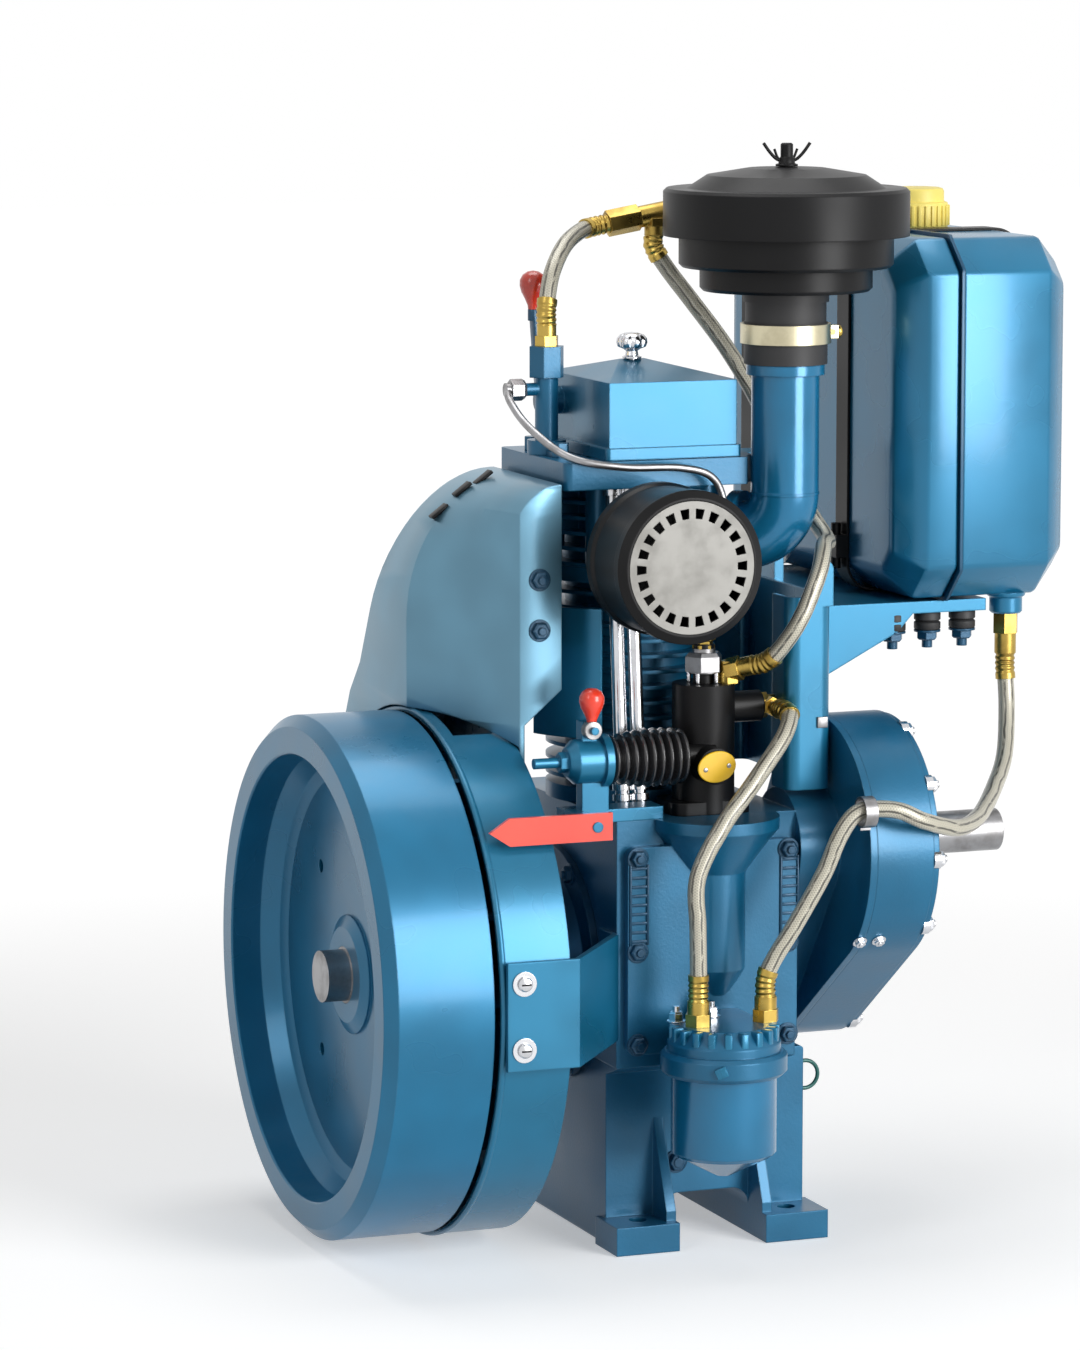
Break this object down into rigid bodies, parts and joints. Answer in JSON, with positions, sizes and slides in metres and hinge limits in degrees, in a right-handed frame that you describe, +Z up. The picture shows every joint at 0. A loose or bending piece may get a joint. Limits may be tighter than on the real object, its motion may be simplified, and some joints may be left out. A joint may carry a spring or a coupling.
{
  "type": "single-cylinder air-cooled diesel engine",
  "caption": "Upright air-cooled diesel engine with flywheel fan, cowl, duct, side fuel tank, oil-bath air cleaner, drum silencer, injection pump and fuel filter",
  "frame": {"origin": "centre of the four foot bolts on the plane that the feet stand on", "axes": "+X along the crankshaft towards the timing case, -Y to the pump side, +Z up"},
  "size_m": [0.6128, 0.507, 0.8443],
  "materials": {
    "blue_casting": "satin metallic steel-blue paint over sand casting",
    "blue_dark_casting": "satin dark blue paint over iron casting",
    "blue_sheet": "semi-gloss blue paint on pressed sheet",
    "tank_blue": "gloss metallic blue paint",
    "flywheel_blue": "semi-gloss blue paint on machined iron",
    "pipe_blue": "gloss blue paint",
    "duct_silver": "silver-blue metallic paint",
    "black_paint": "satin black paint",
    "face_silver": "brushed bare sheet",
    "steel": "machined bare steel",
    "zinc": "bright zinc plate",
    "piston_alloy": "turned alloy",
    "gear_iron": "hobbed iron",
    "bronze": "turned bronze",
    "brass": "turned brass",
    "rubber": "matt black rubber",
    "hose_cover": "silver-grey woven cover",
    "red": "gloss red",
    "yellow": "matt yellow plastic",
    "green_wire": "dark green paint"
  },
  "bodies": {
    "engine": {"crankcase": "blue_casting", "crankcase_door": "blue_casting", "timing_cover": "blue_casting", "bearing_housing": "blue_dark_casting", "main_bushes": "bronze", "cylinder_barrel": "blue_casting", "cylinder_head": "blue_casting", "head_studs": "steel", "rocker_cover": "blue_sheet", "rocker_bracket": "steel", "pushrod_tubes": "zinc", "fan_cowl": "blue_sheet", "cowl_duct": "duct_silver", "air_baffles": "blue_sheet", "cowl_bracket": "blue_sheet", "case_fasteners": "zinc", "inlet_elbow": "pipe_blue", "neck_hose": "rubber", "hose_clamp": "brass", "air_cleaner_bowl": "black_paint", "air_cleaner_cover": "black_paint", "silencer_body": "black_paint", "silencer_face": "face_silver", "injector": "blue_casting", "injector_pipe": "steel", "pump_body": "black_paint", "governor_bellows": "zinc", "governor_housing": "blue_sheet", "filter_head": "blue_casting", "filter_bowl": "pipe_blue", "pump_hose": "hose_cover", "supply_hose": "hose_cover", "overflow_hose": "hose_cover", "return_hose": "hose_cover", "hose_fittings": "brass", "hose_clip": "steel", "fuel_tank": "tank_blue", "tank_straps": "black_paint", "tank_bracket": "blue_sheet"},
    "crank": {"crankshaft": "steel", "flywheel": "flywheel_blue"},
    "cam": {"camshaft": "steel", "cam_gear": "gear_iron"},
    "running_piston": {"piston": "piston_alloy", "piston_rings": "steel", "gudgeon_pin": "steel", "connecting_rod": "steel"},
    "dipstick": {"dipstick": "green_wire"},
    "decompression_lever": {"decompression_lever": "red"},
    "speed_lever": {"speed_lever": "red"},
    "stop_lever": {"stop_lever": "red"},
    "filler_cap": {"filler_cap": "yellow"},
    "wing_nut": {"wing_nut": "black_paint"},
    "cover_knob": {"cover_knob": "zinc"},
    "inlet_rocker": {"inlet_rocker": "steel"},
    "exhaust_rocker": {"exhaust_rocker": "steel"},
    "inlet_valve": {"inlet_valve": "steel"},
    "exhaust_valve": {"exhaust_valve": "steel"},
    "inlet_pushrod": {"inlet_pushrod": "steel"},
    "exhaust_pushrod": {"exhaust_pushrod": "steel"}
  },
  "joints": [
    {"name": "crank_turn", "type": "hinge", "parent": "engine", "child": "crank", "pos_m": [0, 0, 0.2074], "axis": [1, 0, 0], "continuous": true},
    {"name": "cam_turn", "type": "hinge", "parent": "engine", "child": "cam", "pos_m": [0, -0.093, 0.30534], "axis": [1, 0, 0], "continuous": true},
    {"name": "piston_travel", "type": "slide", "parent": "engine", "child": "running_piston", "axis": [0, 0, 1], "range_m": [0, 0.11]},
    {"name": "decompression_lever_swing", "type": "hinge", "parent": "engine", "child": "decompression_lever", "pos_m": [-0.0863, 0.026, 0.643], "axis": [1, 0, 0], "range_deg": [-90, 0]},
    {"name": "speed_lever_swing", "type": "hinge", "parent": "engine", "child": "speed_lever", "pos_m": [-0.109, -0.131, 0.408], "axis": [0, 1, 0], "range_deg": [-20, 20]},
    {"name": "stop_lever_swing", "type": "hinge", "parent": "engine", "child": "stop_lever", "pos_m": [-0.12, -0.17, 0.341], "axis": [0, 1, 0], "range_deg": [0, 40]},
    {"name": "filler_cap_turn", "type": "hinge", "parent": "engine", "child": "filler_cap", "pos_m": [0.246, 0.064, 0.78], "axis": [0, 0, 1], "range_deg": [0, 90]},
    {"name": "wing_nut_turn", "type": "hinge", "parent": "engine", "child": "wing_nut", "pos_m": [0.066, -0.09, 0.83], "axis": [0, 0, 1], "continuous": true},
    {"name": "cover_knob_turn", "type": "hinge", "parent": "engine", "child": "cover_knob", "pos_m": [-0.03, -0.014, 0.685], "axis": [0, 0, 1], "continuous": true},
    {"name": "dipstick_pull", "type": "slide", "parent": "engine", "child": "dipstick", "axis": [0.866, 0, 0.5], "range_m": [0, 0.08]},
    {"name": "exhaust_rocker_swing", "type": "hinge", "parent": "engine", "child": "exhaust_rocker", "pos_m": [-0.0655, -0.031, 0.633], "axis": [1, 0, 0], "range_deg": [-14.5, 0]},
    {"name": "exhaust_valve_lift", "type": "slide", "parent": "engine", "child": "exhaust_valve", "axis": [0, 0, 1], "range_m": [-0.008, 0]},
    {"name": "exhaust_pushrod_lift", "type": "slide", "parent": "engine", "child": "exhaust_pushrod", "axis": [0, 0.0958, 0.9954], "range_m": [0, 0.008]},
    {"name": "inlet_rocker_swing", "type": "hinge", "parent": "engine", "child": "inlet_rocker", "pos_m": [-0.039, -0.031, 0.633], "axis": [1, 0, 0], "range_deg": [-14.5, 0]},
    {"name": "inlet_valve_lift", "type": "slide", "parent": "engine", "child": "inlet_valve", "axis": [0, 0, 1], "range_m": [-0.008, 0]},
    {"name": "inlet_pushrod_lift", "type": "slide", "parent": "engine", "child": "inlet_pushrod", "axis": [0, 0.0958, 0.9954], "range_m": [0, 0.008]}
  ],
  "couplings": [
    {"joint": "cam_turn", "follows": "crank_turn", "ratio": -0.5},
    {"joint": "exhaust_valve_lift", "follows": "exhaust_rocker_swing", "m_per_rad": 0.031},
    {"joint": "exhaust_pushrod_lift", "follows": "exhaust_rocker_swing", "m_per_rad": -0.031},
    {"joint": "inlet_valve_lift", "follows": "inlet_rocker_swing", "m_per_rad": 0.031},
    {"joint": "inlet_pushrod_lift", "follows": "inlet_rocker_swing", "m_per_rad": -0.031}
  ]
}
